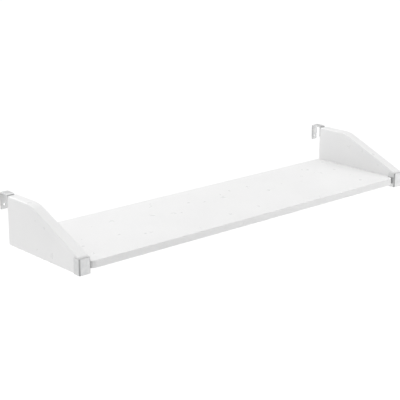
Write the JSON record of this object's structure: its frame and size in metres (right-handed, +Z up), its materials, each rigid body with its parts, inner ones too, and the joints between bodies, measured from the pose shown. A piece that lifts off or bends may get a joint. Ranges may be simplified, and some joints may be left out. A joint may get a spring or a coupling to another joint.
{
  "type": "hang-on shelf",
  "caption": "Long shallow shelf board between two trapezoidal side panels, with flat steel hooks that hang it over a rail and metal caps on the panels' front ends.",
  "frame": {"origin": "middle of the shelf's box, on the level of the side panels' feet", "axes": "+X along the shelf board, +Y towards the hooks and the rail, +Z up"},
  "size_m": [1.0036, 0.2898, 0.1135],
  "materials": {
    "white_lacquer": "satin white lacquer on fibreboard",
    "satin_zinc": "satin zinc plating",
    "screw_steel": "bright zinc-plated steel",
    "cast_zinc": "bare die-cast zinc, matt",
    "beech": "plain beech"
  },
  "bodies": {
    "root": {"shelf_board": "white_lacquer", "side_panel_left": "white_lacquer", "side_panel_right": "white_lacquer", "hook_left": "satin_zinc", "hook_right": "satin_zinc", "front_cap_left": "satin_zinc", "front_cap_right": "satin_zinc", "hook_screw_left_upper": "screw_steel", "hook_screw_left_lower": "screw_steel", "hook_screw_right_upper": "screw_steel", "hook_screw_right_lower": "screw_steel", "cap_screw_left": "screw_steel", "cap_screw_right": "screw_steel", "cam_bolt_left_front": "screw_steel", "cam_bolt_left_back": "screw_steel", "cam_bolt_right_front": "screw_steel", "cam_bolt_right_back": "screw_steel", "cam_lock_left_front": "cast_zinc", "cam_lock_left_back": "cast_zinc", "cam_lock_right_front": "cast_zinc", "cam_lock_right_back": "cast_zinc", "dowel_left_front": "beech", "dowel_left_back": "beech", "dowel_right_front": "beech", "dowel_right_back": "beech"}
  },
  "joints": []
}
